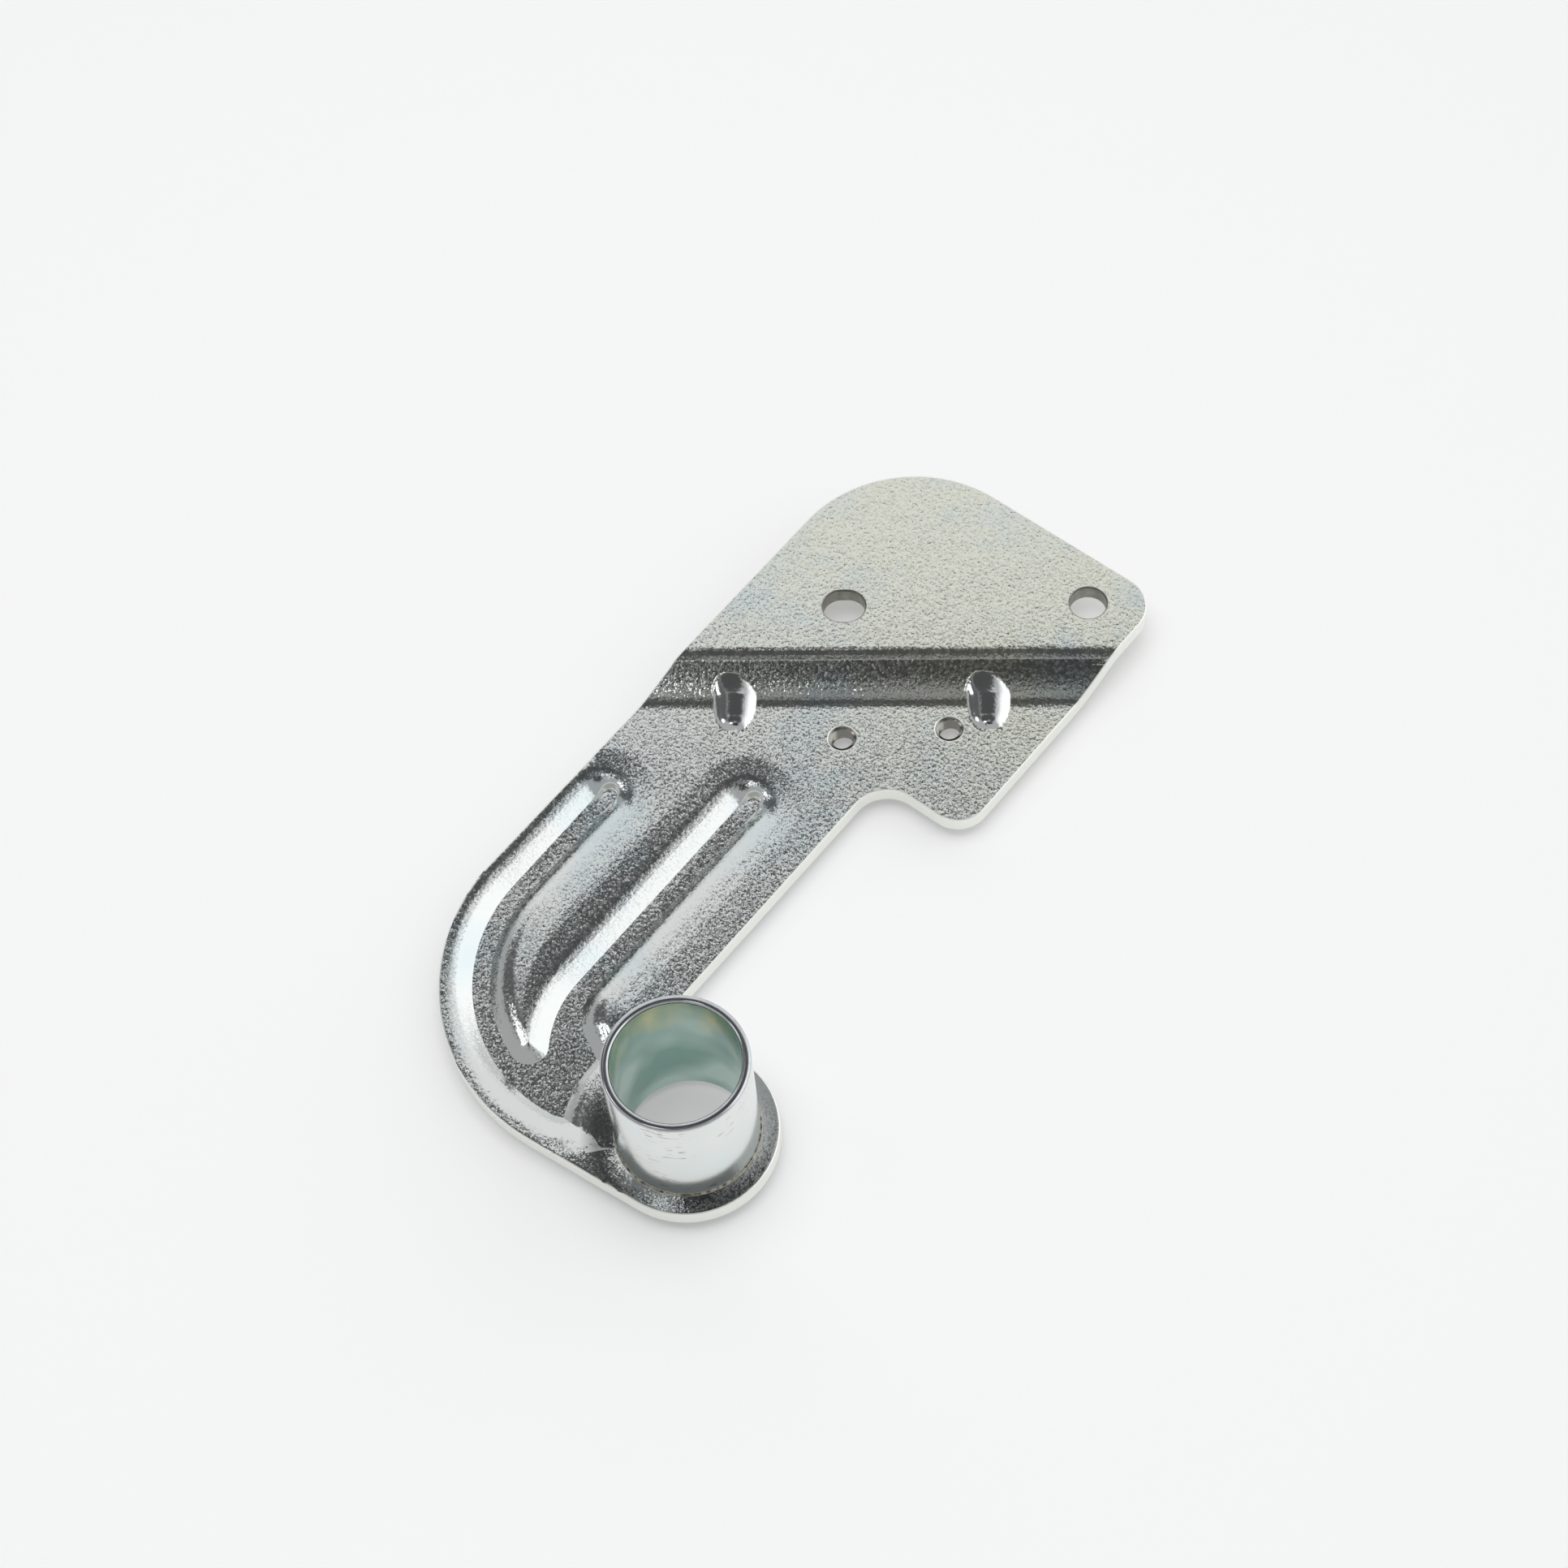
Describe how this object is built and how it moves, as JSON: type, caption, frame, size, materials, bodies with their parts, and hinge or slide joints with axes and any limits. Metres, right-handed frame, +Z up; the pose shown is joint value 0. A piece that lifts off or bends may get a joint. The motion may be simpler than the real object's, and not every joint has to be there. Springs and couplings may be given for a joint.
{
  "type": "stamped bracket with socket tube",
  "caption": "Zinc-plated stamped steel bracket: a joggled plate with a pressed stiffening recess and a short upright socket tube at its rounded end.",
  "frame": {"origin": "the tube's axis at the underside of the plate's lower level", "axes": "+Z up along the tube's axis, out of its open end; +Y along the plate's long straight edge, from the tube towards the screw holes"},
  "size_m": [0.0684, 0.1347, 0.0283],
  "materials": {
    "zinc_sheet": "grained bright zinc plate",
    "zinc_tube": "smooth blue-white zinc plate"
  },
  "bodies": {
    "root": {"bracket_plate": "zinc_sheet", "socket_tube": "zinc_tube"}
  },
  "joints": []
}
